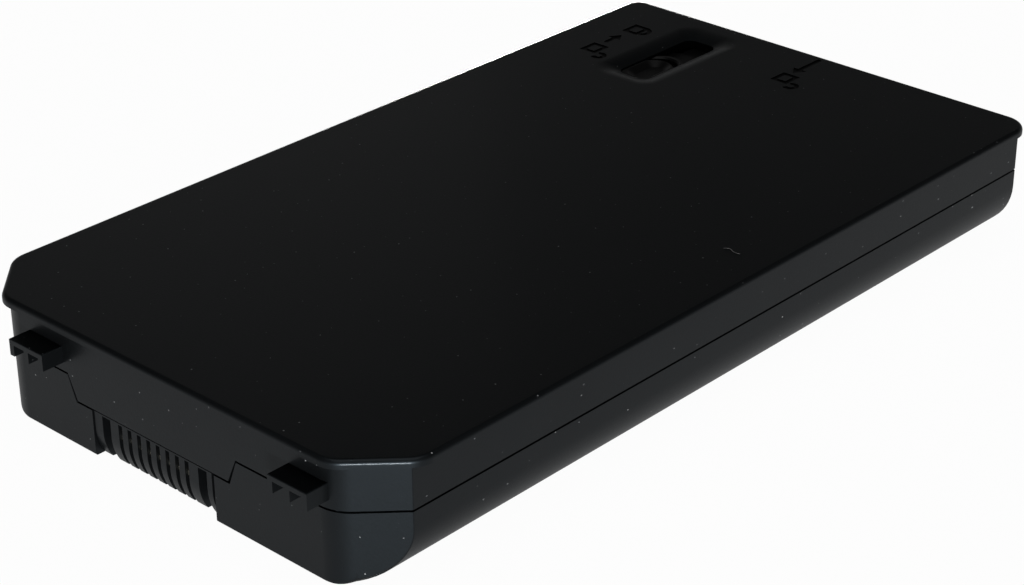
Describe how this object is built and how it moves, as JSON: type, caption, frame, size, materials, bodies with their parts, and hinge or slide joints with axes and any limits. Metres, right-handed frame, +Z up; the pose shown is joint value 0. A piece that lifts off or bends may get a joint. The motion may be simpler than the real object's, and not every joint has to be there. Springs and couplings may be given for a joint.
{
  "type": "laptop battery pack",
  "caption": "Flat black laptop battery pack with an overhanging cover plate, cut front corners, a comb connector between keyed hooks and a sliding thumb latch.",
  "frame": {"origin": "under the middle of the pack, on its bottom face, halfway between the hooks' tips and the back of the plate", "axes": "+X across the pack, +Y from the connector end to the latch end, +Z up to the outer plate"},
  "size_m": [0.09, 0.1628, 0.021],
  "materials": {
    "case_plastic": "black moulded plastic with a fine matte grain",
    "latch_plastic": "dark grey moulded plastic, lightly worn on its ribs",
    "connector_plastic": "black moulded plastic, smoother than the case",
    "contact_metal": "gold flashed spring brass",
    "cell_sleeve": "shrink sleeve",
    "nickel": "rolled nickel strip",
    "lead_insulation": "wire insulation",
    "bead_resin": "dipped resin",
    "insulating_paper": "stiff insulating paper",
    "board_laminate": "green solder mask",
    "chip_resin": "moulded resin",
    "ceramic": "glazed ceramic",
    "capacitor_ceramic": "sintered ceramic"
  },
  "bodies": {
    "case": {"upper_case": "case_plastic", "lower_case": "case_plastic", "connector_housing": "connector_plastic", "contact_set": "contact_metal", "cell_1": "cell_sleeve", "cell_2": "cell_sleeve", "cell_3": "cell_sleeve", "cell_4": "cell_sleeve", "cell_5": "cell_sleeve", "cell_6": "cell_sleeve", "cell_7": "cell_sleeve", "cell_8": "cell_sleeve", "strip_negative": "nickel", "strip_positive": "nickel", "strip_tap_left": "nickel", "strip_tap_right": "nickel", "strip_tap_back": "nickel", "sense_leads": "lead_insulation", "thermistor": "bead_resin", "front_insulator": "insulating_paper", "back_insulator": "insulating_paper", "protection_board": "board_laminate", "gauge_chip": "chip_resin", "switch_transistors": "chip_resin", "board_fuse": "ceramic", "sense_resistor": "chip_resin", "capacitors": "capacitor_ceramic"},
    "latch": {"latch_slider": "latch_plastic"}
  },
  "joints": [
    {"name": "latch_slide", "type": "slide", "parent": "case", "child": "latch", "axis": [0, 1, 0], "range_m": [0, 0.004]}
  ]
}
